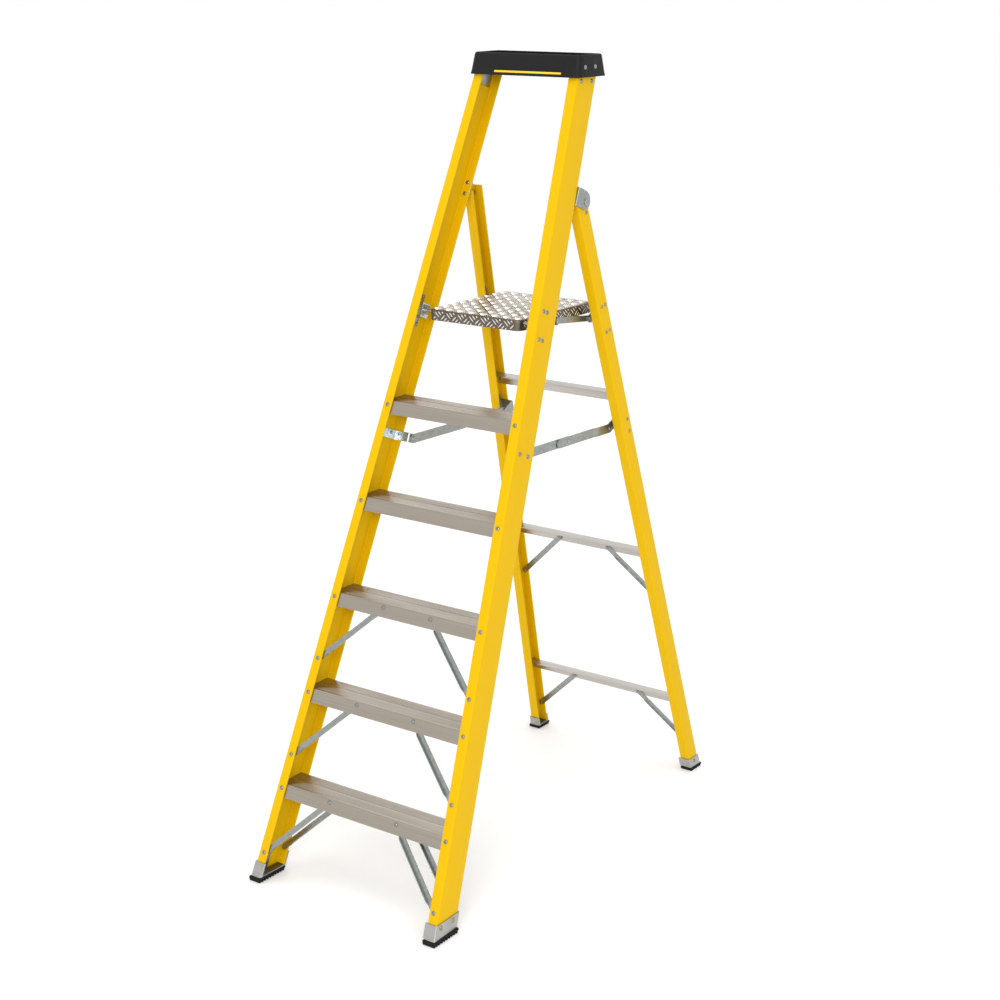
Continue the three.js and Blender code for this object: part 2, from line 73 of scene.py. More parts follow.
# Points on the front frame are (depth, along), and on the rear frame (depth, along) from the hinge.
HINGE = (121, 1832)
PLATFORM_PIVOT = (26.5, 1499)
STAY_FRONT = (89, 1178)
ARM_REAR = (-12, -313)
STAY_REAR = (-28, -618.6)

TREAD_PITCH = 250
TREAD_FIRST = 257.5
TREAD_SKIRT = 34.8
TREAD_WALL = 2.2
RUNG_TOPS = {"upper": -521, "middle": -998.5, "lower": -1476}
RUNG_HEIGHT = 33.5
RUNG_FRONT = -16.5
RUNG_BACK = 7.7
RUNG_WALL = 2.5
BRACE_WIDTH = 15
BRACE_WALL = 2.5
# How far inside the outer web face the lower rivets of the braces lie.
BRACE_INSET = 16
# Tread braces: rivet below the tread's top, reach across, and lower rivets along the stile.
TREAD_BRACE = (10.5, 163.7, (77, 333, 584.5))
# Rear brace of the lowest tread: upper and lower rivet along the stile, and reach across.
TREAD_REAR_BRACE = (270, 92, 176)
# Rung braces: upper and lower rivet below the rung's top, and reach across.
RUNG_BRACE = (22.5, 164.5, 148)

DECK_WALL = 3
DECK_HEIGHT = 27
DECK_CORNER = 20
LUG_SIDES = (138, 141)
# Side of a group of the platform's raised bars, and half the length of a bar.
BAR_CELL = 25
BAR_REACH = 10
BAR_HEIGHT = 1.1

# Thickness of the steel plates, and the inner faces of the plates beside each other at the pivots.
PLATE = 3
ARM_X = 141.6
STAY_X = 159.8
REAR_LINK_X = 163.2
HINGE_EAR_X = 175.7
# Lengths from the platform's pivot to its lugs, and from the stays' front pivots to their middle pins.
LUG_DISTANCE = 141.1
STAY_FRONT_LENGTH = 224
STAY_HALF_WIDTH = 12

# ---------------------------------------------------------------- places
joints = {joint["name"]: joint for joint in frame["joints"]}


def pivot(name):
    """A joint's place in the plane x = 0, in millimetres."""
    _, y, z = joints[name]["pos_m"]
    return Vector((0, y / MM, z / MM))


def placed(turn, anchor, at):
    """A place whose local point `anchor` lies at `at`, turned about X; lengths in millimetres."""
    rotation = Matrix.Rotation(turn, 4, "X")
    offset = at - rotation @ Vector(anchor)
    return Matrix.Translation(offset * MM) @ rotation


hinge = pivot("rear_fold")
FRONT = placed(-FRONT_LEAN, (0, *HINGE), hinge)
REAR = placed(REAR_LEAN, (0, 0, 0), hinge)
LEVEL = Matrix.Identity(4)


def front_half(along):
    """Half the width of the front frame, over the outer faces of its webs."""
    return FRONT_HALF_WIDTH - along * FRONT_TAPER


def rear_half(along):
    """Half the width of the rear frame, over the outer faces of its webs."""
    return REAR_HALF_WIDTH - along * REAR_TAPER


def front_level(z, depth):
    """Where a level plane at height z cuts the front frame, as a length along the stile."""
    return (z + depth * math.sin(FRONT_LEAN)) / math.cos(FRONT_LEAN)


def rear_level(z, depth):
    """Where a level plane at height z cuts the rear frame, as a length along the leg."""
    return (z - hinge.z - depth * math.sin(REAR_LEAN)) / math.cos(REAR_LEAN)


# ---------------------------------------------------------------- outlines
def arc(cx, cy, radius, start, end, steps):
    """Points of an arc; angles in degrees."""
    points = []
    for i in range(steps + 1):
        angle = (start + (end - start) * i / steps) * DEG
        points.append((cx + radius * math.cos(angle), cy + radius * math.sin(angle)))
    return points


def rounded_rectangle(left, right, low, high, radius, steps=6):
    return (
        arc(right - radius, high - radius, radius, 0, 90, steps)
        + arc(left + radius, high - radius, radius, 90, 180, steps)
        + arc(left + radius, low + radius, radius, 180, 270, steps)
        + arc(right - radius, low + radius, radius, 270, 360, steps)
    )


def channel_outline(size):
    """(x from the outer web face, depth), with rounded outer corners, inner fillets and flange tips."""
    flange, depth, wall, front = size["flange"], size["depth"], size["wall"], size["front"]
    back = front + depth
    tip, fillet, corner = 1.3, 2.2, 3.5
    return (
        arc(-flange + tip, front + tip, tip, 180, 270, 3)
        + arc(-corner, front + corner, corner, -90, 0, 7)
        + arc(-corner, back - corner, corner, 0, 90, 7)
        + arc(-flange + tip, back - tip, tip, 90, 180, 3)
        + arc(-flange + tip, back - wall + tip, tip, 180, 270, 3)
        + arc(-wall - fillet, back - wall - fillet, fillet, 90, 0, 4)
        + arc(-wall - fillet, front + wall + fillet, fillet, 0, -90, 4)
        + arc(-flange + tip, front + wall - tip, tip, 90, 180, 3)
    )


# ---------------------------------------------------------------- meshes
def loft(rings):
    """A closed skin over rings of equal length, with a cap at each end."""
    count = len(rings[0])
    verts = [point for ring in rings for point in ring]
    faces = [tuple(range(count))]
    for i in range(len(rings) - 1):
        for j in range(count):
            k = (j + 1) % count
            faces.append((i * count + j, i * count + k, (i + 1) * count + k, (i + 1) * count + j))
    last = (len(rings) - 1) * count
    faces.append(tuple(range(last, last + count)))
    return verts, faces


def merge(*solids):
    """Several solids as one mesh."""
    verts, faces = [], []
    for more_verts, more_faces in solids:
        start = len(verts)
        verts += more_verts
        faces += [tuple(i + start for i in face) for face in more_faces]
    return verts, faces


def across_x(outline, low, high):
    """An outline in (depth, along), run along X."""
    return loft([[(x, u, v) for u, v in outline] for x in (low, high)])


def along_z(outline, low, high):
    """An outline in (x, y), run upwards."""
    return loft([[(u, v, z) for u, v in outline] for z in (low, high)])


def member(outline, low, high, half):
    """A profile (x from the outer web face, depth) run along a leaning member."""
    return loft([[(x + half(end(d)), d, end(d)) for x, d in outline] for end in (low, high)])


def strip(stations, wall, to):
    """Bent sheet metal: stations are (u, v, low, high) along the middle of its thickness."""
    rings = []
    for i, (u, v, low, high) in enumerate(stations):
        before = stations[max(i - 1, 0)]
        after = stations[min(i + 1, len(stations) - 1)]
        heading = Vector((after[0] - before[0], after[1] - before[1]))
        normal = Vector((-heading.y, heading.x)).normalized() * wall / 2
        inner, outer = (u - normal.x, v - normal.y), (u + normal.x, v + normal.y)
        rings.append([to(*inner, low), to(*outer, low), to(*outer, high), to(*inner, high)])
    return loft(rings)


def round_start(at, half):
    """Stations (length, half width) of a bar's round start, from its tip."""
    return [(at - half * math.cos(k * 15 * DEG), half * math.sin(k * 15 * DEG)) for k in range(7)]


def round_end(at, half):
    """Stations of a bar's round end, up to its tip."""
    return [(at + half * math.sin(k * 15 * DEG), half * math.cos(k * 15 * DEG)) for k in range(7)]


def flat_bar(start, heading, stations, middle_x):
    """A steel bar through (length, half width) stations along a heading; its X may step sideways."""
    rings = []
    for length, half in stations:
        centre = start + heading * length
        edge = Vector((0, -heading.z, heading.y)) * max(half, 0.4)
        x = middle_x(length)
        ring = []
        for side, up in ((-1, -1), (1, -1), (1, 1), (-1, 1)):
            ring.append((x + side * PLATE / 2, centre.y + edge.y * up, centre.z + edge.z * up))
        rings.append(ring)
    return loft(rings)


def bent_path(corners, radius, steps=5):
    """A line through corner points, with each inner corner rounded."""
    points = [Vector(corners[0])]
    for i in range(1, len(corners) - 1):
        here = Vector(corners[i])
        to_last = (Vector(corners[i - 1]) - here).normalized()
        to_next = (Vector(corners[i + 1]) - here).normalized()
        opening = to_last.angle(to_next)
        reach = radius / math.tan(opening / 2)
        start, end = here + to_last * reach, here + to_next * reach
        centre = here + (to_last + to_next).normalized() * (radius / math.sin(opening / 2))
        for k in range(steps + 1):
            t = k / steps
            chord = start.lerp(end, t) - centre
            points.append(centre + chord.normalized() * radius)
    points.append(Vector(corners[-1]))
    return points


def lathe_x(profile, y, z, steps=28):
    """A turned piece round an axis along X; profile points are (x, radius)."""
    rings = []
    for x, radius in profile:
        ring = []
        for i in range(steps):
            angle = 2 * math.pi * i / steps
            ring.append((x, y + radius * math.cos(angle), z + radius * math.sin(angle)))
        rings.append(ring)
    return loft(rings)


def piece(name, solid, place, material, body, bevel=0.0, stands_for=()):
    """A named mesh that rides on a body. With a bevel its edges are rounded, else shaded by angle."""
    verts, faces = solid
    shape = bmesh.new()
    corners = [shape.verts.new(Vector(v) * MM) for v in verts]
    for face in faces:
        shape.faces.new([corners[i] for i in face])
    bmesh.ops.recalc_face_normals(shape, faces=shape.faces)
    mesh = bpy.data.meshes.new(name)
    shape.to_mesh(mesh)
    shape.free()
    for polygon in mesh.polygons:
        polygon.use_smooth = True
    mesh.materials.append(material)
    made = bpy.data.objects.new(name, mesh)
    scene.collection.objects.link(made)
    made.matrix_world = place
    if bevel:
        edge = made.modifiers.new("rounded edges", "BEVEL")
        edge.width = bevel * MM
        edge.segments = 2
        edge.limit_method = "ANGLE"
        edge.angle_limit = 40 * DEG
        edge.harden_normals = True
    else:
        mesh.set_sharp_from_angle(angle=32 * DEG)
    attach(made, body)
    if stands_for:
        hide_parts(*stands_for)


def pair(name, solid, place, material, body, bevel=0.0, node=None):
    """A right-hand piece and its mirror image. {} in the body's name becomes the side."""
    verts, faces = solid
    for side, sign in (("right", 1), ("left", -1)):
        turned = [(x * sign, y, z) for x, y, z in verts]
        stands_for = (f"{node}_{side}",) if node else ()
        piece(f"{name}_{side}", (turned, faces), place, material, body.format(side), bevel, stands_for)


def dome(centre, normal, radius, height, steps=14):
    """A rivet's head, sunk slightly into the face that it sits on."""
    up = Vector(normal).normalized()
    side = up.orthogonal().normalized()
    other = up.cross(side)
    rings = []
    for share, rise in ((1, -0.3), (1, 0.15), (0.93, 0.5), (0.74, 0.8), (0.45, 0.96), (0.12, 1)):
        ring = []
        for i in range(steps):
            angle = 2 * math.pi * i / steps
            offset = side * math.cos(angle) + other * math.sin(angle)
            ring.append(tuple(Vector(centre) + offset * radius * share + up * height * rise))
        rings.append(ring)
    return loft(rings)


def rivets(places, radius=5.5, height=2.8):
    """Domed heads at (centre, normal) places, as one mesh."""
    return merge(*[dome(centre, normal, radius, height) for centre, normal in places])


# ---------------------------------------------------------------- materials
class Look:
    """A principled material with its nodes, fed from the piece's own axes in metres."""

    def __init__(self, name, color, roughness, metallic=0.0, **sockets):
        self.material = bpy.data.materials.new(name)
        self.material.use_nodes = True
        self.tree = self.material.node_tree
        self.shader = self.tree.nodes["Principled BSDF"]
        self.color = color
        self.shader.inputs["Base Color"].default_value = (*color, 1)
        self.shader.inputs["Roughness"].default_value = roughness
        self.shader.inputs["Metallic"].default_value = metallic
        for socket, value in sockets.items():
            self.shader.inputs[socket.replace("_", " ")].default_value = value
        self.axes = self.tree.nodes.new("ShaderNodeTexCoord").outputs["Object"]
        self.height = None

    def link(self, start, end):
        self.tree.links.new(start, end)

    def noise(self, stretch, detail=4.0, rough=0.55, distortion=0.0):
        """Noise with the given number of features per metre along X, Y and Z."""
        mapping = self.tree.nodes.new("ShaderNodeMapping")
        mapping.inputs["Scale"].default_value = stretch
        self.link(self.axes, mapping.inputs["Vector"])
        texture = self.tree.nodes.new("ShaderNodeTexNoise")
        texture.inputs["Scale"].default_value = 1
        texture.inputs["Detail"].default_value = detail
        texture.inputs["Roughness"].default_value = rough
        texture.inputs["Distortion"].default_value = distortion
        self.link(mapping.outputs["Vector"], texture.inputs["Vector"])
        return texture.outputs["Fac"]

    def spread(self, value, low, high, start=0.3, end=0.7):
        """Maps a value from start..end to low..high."""
        node = self.tree.nodes.new("ShaderNodeMapRange")
        node.inputs["From Min"].default_value = start
        node.inputs["From Max"].default_value = end
        node.inputs["To Min"].default_value = low
        node.inputs["To Max"].default_value = high
        self.link(value, node.inputs["Value"])
        return node.outputs["Result"]

    def tint(self, factor, other, source=None):
        """Mixes the base colour towards another colour by a factor."""
        node = self.tree.nodes.new("ShaderNodeMix")
        node.data_type = "RGBA"
        start = node.inputs[6]
        if source is None:
            start.default_value = (*self.color, 1)
        else:
            self.link(source, start)
        node.inputs[7].default_value = (*other, 1)
        self.link(factor, node.inputs[0])
        self.link(node.outputs[2], self.shader.inputs["Base Color"])
        return node.outputs[2]

    def dull(self, value, low, high):
        """Varies the roughness between two values."""
        self.link(self.spread(value, low, high), self.shader.inputs["Roughness"])

    def bump(self, value, strength, distance):
        """Adds a bump in millimetres on top of any that is there already."""
        node = self.tree.nodes.new("ShaderNodeBump")
        node.inputs["Strength"].default_value = strength
        node.inputs["Distance"].default_value = distance * MM
        self.link(value, node.inputs["Height"])
        if self.height is not None:
            self.link(self.height, node.inputs["Normal"])
        self.height = node.outputs["Normal"]
        self.link(self.height, self.shader.inputs["Normal"])


def fibreglass():
    """Pulled glass fibre: fine strands run along the member under a satin resin skin."""
    look = Look("fibreglass", (0.70, 0.425, 0.001), 0.4, Specular_IOR_Level=0.08)
    strands = look.noise((900, 900, 9), 5, 0.6)
    patches = look.noise((30, 30, 4), 3)
    warm = look.tint(look.spread(strands, 0, 0.32, 0.35, 0.75), (0.62, 0.355, 0.001))
    look.tint(look.spread(patches, 0, 0.16, 0.4, 0.75), (0.75, 0.475, 0.002), warm)
    look.dull(look.noise((300, 300, 5), 4), 0.32, 0.48)
    look.bump(strands, 0.25, 0.12)
    look.bump(patches, 0.25, 0.5)
    return look.material


def drawn_aluminium(name, color, shade, roughness):
    """Mill finish with the die's fine lines along X and soft cloudy patches."""
    look = Look(name, color, roughness, 1.0)
    lines = look.noise((1.6, 420, 420), 4, 0.6)
    clouds = look.noise((3, 24, 24), 3, 0.5)
    worn = look.tint(look.spread(lines, 0, 0.45), shade)
    look.tint(look.spread(clouds, 0, 0.2, 0.35, 0.7), shade, worn)
    look.dull(clouds, roughness - 0.06, roughness + 0.1)
    look.bump(lines, 0.3, 0.06)
    return look.material


def plated_steel(name, color, shade, roughness):
    """Zinc plate with faint crystals and handling marks."""
    look = Look(name, color, roughness, 1.0)
    cells = look.noise((110, 110, 110), 3, 0.5, 0.6)
    marks = look.noise((700, 700, 700), 4)
    mottled = look.tint(look.spread(cells, 0, 0.6, 0.35, 0.65), shade)
    look.tint(look.spread(marks, 0, 0.2), shade, mottled)
    look.dull(cells, roughness - 0.08, roughness + 0.12)
    look.bump(marks, 0.2, 0.08)
    return look.material


def moulded(name, color, other, roughness, grain, depth):
    """Textured black plastic or rubber."""
    look = Look(name, color, roughness, Specular_IOR_Level=0.22)
    fine = look.noise((grain, grain, grain), 3)
    dust = look.noise((25, 25, 25), 5, 0.65)
    look.tint(look.spread(dust, 0, 0.5, 0.4, 0.75), other)
    look.dull(dust, roughness - 0.06, roughness + 0.08)
    look.bump(fine, 0.5, depth)
    return look.material


FIBREGLASS = fibreglass()
# The tread aluminium's warm tint is partly its own colour and partly a painted reflection of the yellow
# stiles.
TREAD_METAL = drawn_aluminium("tread_aluminium", (0.42, 0.375, 0.32), (0.26, 0.225, 0.185), 0.34)
RUNG_METAL = drawn_aluminium("rung_aluminium", (0.56, 0.54, 0.51), (0.38, 0.35, 0.31), 0.36)
# The platform's pan, lugs and raised bars are one aluminium sheet with painted light: the pan and lugs are
# painted dark as painted shade, and the bars are painted pale as painted highlight, those on the walls paler
# than those on the top.
DECK_METAL = drawn_aluminium("deck_aluminium", (0.17, 0.145, 0.118), (0.1, 0.084, 0.066), 0.3)
TOP_BAR_METAL = drawn_aluminium("top_bar_aluminium_painted_highlight", (0.72, 0.69, 0.64), (0.5, 0.47, 0.42), 0.26)
BAR_METAL = drawn_aluminium("wall_bar_aluminium_painted_highlight", (0.88, 0.86, 0.82), (0.7, 0.67, 0.62), 0.26)
SHOE_METAL = drawn_aluminium("shoe_aluminium", (0.46, 0.46, 0.44), (0.27, 0.27, 0.26), 0.34)
# The shoe's floor is painted near black: painted shade at the bottom of the channel, on the same aluminium
# as the shoe.
FLOOR_METAL = drawn_aluminium("shoe_floor_aluminium_painted_shade", (0.16, 0.14, 0.11), (0.09, 0.08, 0.06), 0.4)
ZINC = plated_steel("zinc_steel", (0.36, 0.385, 0.37), (0.25, 0.27, 0.26), 0.36)
# A paler copy of the zinc plate, as painted highlight for the light that the platform brackets' folds and
# the stays' front brackets catch; the platform bracket's flat plate stays in the plain zinc.
HIGHLIGHT_ZINC = plated_steel("zinc_steel_painted_highlight", (0.60, 0.66, 0.68), (0.36, 0.41, 0.42), 0.28)
BRIGHT = plated_steel("bright_steel", (0.42, 0.43, 0.44), (0.26, 0.26, 0.26), 0.26)
RIVET = plated_steel("rivet_steel", (0.33, 0.33, 0.33), (0.16, 0.16, 0.16), 0.22)
BRASS = plated_steel("pale_brass", (0.40, 0.36, 0.26), (0.2, 0.17, 0.11), 0.26)
PLASTIC = moulded("black_plastic", (0.006, 0.006, 0.006), (0.012, 0.012, 0.012), 0.55, 1800, 0.15)
RUBBER = moulded("black_rubber", (0.006, 0.006, 0.006), (0.02, 0.019, 0.017), 0.8, 1200, 0.25)
PLASTIC_RIVET = moulded("black_rivet", (0.2, 0.2, 0.205), (0.3, 0.3, 0.3), 0.35, 900, 0.05)
TRIM = Look("trim_paint", (0.90, 0.56, 0.01), 0.45).material


# ---------------------------------------------------------------- stiles and legs
def stiles_and_legs():
    stile = member(
        channel_outline(STILE),
        lambda d: front_level(FRONT_FOOT[0] + SHOE_BASE + 2 * GAP, d),
        lambda d: front_level(STILE_TOP_Z, d),
        front_half,
    )
    pair("front_stile_channel", stile, FRONT, FIBREGLASS, "front_frame", node="front_stile")
    leg = member(
        channel_outline(LEG),
        lambda d: rear_level(REAR_FOOT[0] + SHOE_BASE + 2 * GAP, d),
        lambda d: LEG_ABOVE_HINGE,
        rear_half,
    )
    pair("rear_leg_channel", leg, REAR, FIBREGLASS, "rear_frame", node="rear_leg")


# ---------------------------------------------------------------- treads and rungs
def tread_outline(number):
    """A level ribbed top in two bands with a plain channel between them, and a skirt on each side."""
    front, back = STILE["wall"] + GAP, STILE["depth"] - STILE["wall"] - GAP
    seat = TREAD_FIRST + (number - 1) * TREAD_PITCH
    slope = math.tan(FRONT_LEAN)

    def at(depth, drop):
        return (depth, seat + (depth - front) * slope - drop)

    points = [at(front, TREAD_SKIRT), at(front, 1.2), at(front + 1, 0.2), at(front + 5.5, 0.2)]
    pitch, groove = 3.3, 1.1
    for start in (front + 6.5, front + 39.5):
        for i in range(8):
            u = start + i * pitch
            points += [at(u, groove), at(u + 0.9, groove), at(u + 1.3, 0), at(u + 2.9, 0)]
        points += [at(start + 8 * pitch, groove), at(start + 8 * pitch + 0.5, groove)]
    points += [at(back - 4.5, 0.2), at(back - 1, 0.2), at(back, 1.2)]
    top_back = seat + (back - front) * slope
    points += [(back, top_back - TREAD_SKIRT), (back - TREAD_WALL, top_back - TREAD_SKIRT)]
    points += [at(back - TREAD_WALL, TREAD_WALL + 0.6), at(front + TREAD_WALL, TREAD_WALL + 0.6)]
    points += [(front + TREAD_WALL, seat - TREAD_SKIRT)]
    return points


def cross_member(outline, half):
    return loft([[(side * half(v), u, v) for u, v in outline] for side in (-1, 1)])


def treads():
    for number in range(1, 6):
        solid = cross_member(tread_outline(number), lambda v: front_half(v) - STILE["wall"] - GAP)
        name = f"tread_{number}"
        piece(f"{name}_ribbed", solid, FRONT, TREAD_METAL, "front_frame", 0, (name,))


def rungs():
    """Aluminium angles: a flat top, and a wall down its rear edge."""
    front, back, height, wall = RUNG_FRONT, RUNG_BACK, RUNG_HEIGHT, RUNG_WALL
    for place, top in RUNG_TOPS.items():
        outline = (
            [(front, top - wall), (front, top - 0.6), (front + 0.6, top)]
            + arc(back - 2.5, top - 2.5, 2.5, 90, 0, 5)
            + [(back, top - height + 0.6), (back - 0.6, top - height), (back - wall, top - height)]
            + arc(back - wall - 1.2, top - wall - 1.2, 1.2, 0, 90, 4)
        )
        solid = cross_member(outline, lambda v: rear_half(v) - LEG["wall"] - GAP)
        node = f"rear_rung_{place}"
        piece(f"{node}_angle", solid, REAR, RUNG_METAL, "rear_frame", 0, (node,))


# ---------------------------------------------------------------- braces
def brace(top, low, limit, lip_reach):
    """A strap from [x, along, depth of its front face], folded forward along its lower edge."""
    run = Vector((low[0] - top[0], low[1] - top[1]))
    length = run.length
    along = run.normalized()
    down = Vector((along.y, -along.x))
    if down.y > 0:
        down = -down
    half = BRACE_WIDTH / 2
    stations = [-half * math.cos(math.pi * k / 12) for k in range(7)]
    stations += [14, 24, 27, 30, 33, 36, 39, length / 2]
    stations += [length - short for short in (35, 32, 29, 26, 23, 20, 12)]
    stations += [length + half * math.sin(math.pi * k / 12) for k in range(7)]
    rings = []
    for station in stations:
        outside = max(-station, station - length, 0)
        reach = math.sqrt(max(half * half - outside * outside, 0.3))
        inside = min(station - 26, length - 22 - station)
        rise = min(max(inside / 12, 0), 1)
        lip = lip_reach * rise * rise * (3 - 2 * rise)
        share = station / length
        face = top[2] + (low[2] - top[2]) * share
        back = face + BRACE_WALL
        bend = 1.6 * rise
        section = [
            (-reach, face), (-reach, back),
            (reach - bend, back), (reach - bend * 0.3, back - bend * 0.3), (reach, back - bend),
            (reach, face - lip), (reach - BRACE_WALL, face - lip), (reach - BRACE_WALL, face),
        ]
        ring = []
        for across, depth in section:
            point = Vector(top[:2]) + along * station + down * across
            ring.append((point.x, depth, min(point.y, limit)))
        rings.append(ring)
    return loft(rings)


def braces():
    below, across, lows = TREAD_BRACE
    for number, low in enumerate(lows, 1):
        top = TREAD_FIRST + (number - 1) * TREAD_PITCH - below
        x = front_half(low) - BRACE_INSET
        face = STILE["wall"] + 2 * GAP
        solid = brace((x - across, top, face + TREAD_WALL + GAP), (x, low, face), top + below - 2.5, 5.5)
        node = f"tread_{number}_brace"
        pair(f"{node}_angle", solid, FRONT, ZINC, "front_frame", 0.35, node)

    top, low, across = TREAD_REAR_BRACE
    x = front_half(low) - BRACE_INSET
    face = STILE["depth"] - STILE["wall"] - BRACE_WALL - 2 * GAP
    solid = brace((x - across, top, face - TREAD_WALL - GAP), (x, low, face), top + 6, 5.5)
    node = "tread_1_rear_brace"
    pair(f"{node}_angle", solid, FRONT, ZINC, "front_frame", 0.35, node)

    high, deep, across = RUNG_BRACE
    for place in ("middle", "lower"):
        top, low = RUNG_TOPS[place] - high, RUNG_TOPS[place] - deep
        x = rear_half(low) - BRACE_INSET
        face = RUNG_BACK - BRACE_WALL
        solid = brace((x - across, top, face - RUNG_WALL - GAP), (x, low, face), top + 7.5, 2.5)
        node = f"{place}_rung_brace"
        pair(f"{node}_angle", solid, REAR, ZINC, "rear_frame", 0.35, node)


# ---------------------------------------------------------------- feet
def shoe(size, foot, level, half):
    """Stamped aluminium round three sides of the channel's end, with softened corners."""
    flange, depth, front = size["flange"], size["depth"], size["front"]
    wall, inner = SHOE_WALL, GAP
    near, far = front - inner, front + depth + inner
    corner = 3.8
    outline = (
        arc(-flange - 2.8, near - 1.2, 2.5, 60, 300, 12)
        + arc(inner + wall - corner, near - wall + corner, corner, -90, 0, 6)
        + arc(inner + wall - corner, far + wall - corner, corner, 0, 90, 6)
        + [(-flange - 1, far + wall), (-flange - 1, far)]
        + arc(inner - 1.5, far - 1.5, 1.5, 90, 0, 4)
        + arc(inner - 1.5, near + 1.5, 1.5, 0, -90, 4)
    )
    return member(outline, lambda d: level(foot[0] + SHOE_BASE, d), lambda d: level(foot[1], d), half)


def shoe_base(size, foot, level, half):
    """The shoe's flat sole, between the channel's end and the pad."""
    flange, depth, front = size["flange"], size["depth"], size["front"]
    side = GAP + SHOE_WALL
    outline = rounded_rectangle(-flange - 1, side, front - side, front + depth + side, 3)
    low = foot[0] + GAP
    return member(outline, lambda d: level(low, d), lambda d: level(low + SHOE_BASE, d), half)


def shoe_lining(size, foot, level, half):
    """The shoe's inner plate on the web, and its folded floor inside the channel."""
    flange, depth, wall, front = size["flange"], size["depth"], size["wall"], size["front"]
    near, far = front + wall + GAP, front + depth - wall - GAP
    base = foot[0] + SHOE_BASE + 2 * GAP
    plate = rounded_rectangle(-wall - 2.3, -wall - GAP, near + 2, near + 0.45 * depth, 0.5, 2)
    floor = rounded_rectangle(-flange + 1, -wall - 2.6, near, far, 2, 3)
    return (
        member(plate, lambda d: level(base, d), lambda d: level(foot[1] + 16, d), half),
        member(floor, lambda d: level(base, d), lambda d: level(base + 2, d), half),
    )


def foot_pad(node):
    """A rubber pad with ridges across its sole, in the box of its solid."""
    low, high = (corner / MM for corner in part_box(f"{node}_right"))
    teeth = round((high.y - low.y) / 10)
    pitch = (high.y - low.y) / teeth
    groove = high.z * 0.48
    outline = [(low.y, high.z), (low.y, groove), (low.y + 1.2, 1.6)]
    for i in range(teeth):
        start = low.y + i * pitch
        outline += [(start + pitch * 0.2, 0), (start + pitch * 0.48, 0), (start + pitch * 0.56, 0.6)]
        outline += [(start + pitch * 0.66, groove), (start + pitch * 0.92, groove)]
        if i < teeth - 1:
            outline.append((start + pitch * 1.06, 0.6))
    outline += [(high.y, groove), (high.y, high.z)]
    return across_x(outline, low.x, high.x)


def feet():
    for name, size, foot, place, level, half in (
        ("front", STILE, FRONT_FOOT, FRONT, front_level, front_half),
        ("rear", LEG, REAR_FOOT, REAR, rear_level, rear_half),
    ):
        body = f"{name}_frame"
        wrap = shoe(size, foot, level, half)
        pair(f"{name}_shoe_wrap", wrap, place, SHOE_METAL, body, 0.5, f"{name}_shoe")
        base = shoe_base(size, foot, level, half)
        pair(f"{name}_shoe_base", base, place, SHOE_METAL, body, 0.4)
        plate, floor = shoe_lining(size, foot, level, half)
        pair(f"{name}_shoe_inner_plate", plate, place, SHOE_METAL, body, 0.4)
        # The floor's dark colour is painted shade.
        pair(f"{name}_shoe_floor", floor, place, FLOOR_METAL, body, 0.5)
        pad = foot_pad(f"{name}_foot_pad")
        pair(f"{name}_pad_ridged", pad, LEVEL, RUBBER, body, 0.6, f"{name}_foot_pad")


# ---------------------------------------------------------------- top cap
def top_cap():
    """A moulded cap: tapering sides, a rolled rim, a tool tray, and a hollow underside."""
    low, high = (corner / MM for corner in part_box("top_cap"))
    middle = (low.y + high.y) / 2
    reach, deep = high.x, (high.y - low.y) / 2
    tall = high.z - low.z

    def ring(z, inset, corner=14):
        share = (z - low.z) / tall
        wide = reach - 4.5 * share - inset
        half = deep - 11 * share - inset
        centre = middle + 2 * share
        radius = max(corner - inset, 3)
        points = rounded_rectangle(-wide, wide, centre - half, centre + half, radius, 7)
        return [(x, y, z) for x, y in points]

    top = high.z
    rings = [ring(top - 14, 3), ring(low.z + 0.6, 3), ring(low.z, 2.4), ring(low.z, 0.6)]
    rings += [ring(low.z + 0.6, 0), ring(low.z + 5, 0), ring(low.z + 6.5, 0.7), ring(low.z + 20, 0.7)]
    rings.append(ring(top - 7, 0.7))
    for angle in range(0, 91, 15):
        a = angle * DEG
        rings.append(ring(top - 5 + 5 * math.sin(a), 0.7 + 3.5 * (1 - math.cos(a))))
    rings += [ring(top, 5.2), ring(top - 0.6, 6), ring(top - 7.6, 6.4)]
    rings += [ring(top - 9, 7.8), ring(top - 9, 30)]
    piece("cap_shell", loft(rings), LEVEL, PLASTIC, "front_frame", 0, ("top_cap",))

    # A plain painted line and a blank panel on the front face, with no lettering.
    def front_y(z, proud):
        share = (z - low.z) / tall
        return middle + 2 * share - (deep - 11 * share - 0.7) - proud

    def face_bar(x0, x1, z0, z1, proud):
        rings = []
        for x in (x0, x1):
            rings.append([(x, front_y(z, p), z) for z, p in ((z0, -1), (z0, proud), (z1, proud), (z1, -1))])
        return loft(rings)

    line = face_bar(-88, 112, low.z + 6.8, low.z + 11.4, 0.35)
    piece("cap_trim_line", line, LEVEL, TRIM, "front_frame", 0.15)
    panel = face_bar(-94, 116, low.z + 16, low.z + 41, 0.45)
    piece("cap_blank_panel", panel, LEVEL, PLASTIC, "front_frame", 0.4)

    # Tray ribs, and the rivets through each end into the brackets.
    ribs = []
    for x in (-90, -45, 0, 45, 90):
        outline = rounded_rectangle(x - 1.2, x + 1.2, middle - 36, middle + 40, 1.1, 3)
        ribs.append(along_z(outline, top - 9.5, top - 7.6))
    piece("cap_tray_ribs", merge(*ribs), LEVEL, PLASTIC, "front_frame", 0.3)
    share = 0.45
    side = (reach - 4.5 * share - 0.7, 0.084)
    spots = [((side[0], y, low.z + tall * share), (1, 0, side[1])) for y in (middle - 31, middle + 13)]
    pair("cap_rivets", rivets(spots, 5.6, 2.2), LEVEL, PLASTIC_RIVET, "front_frame")


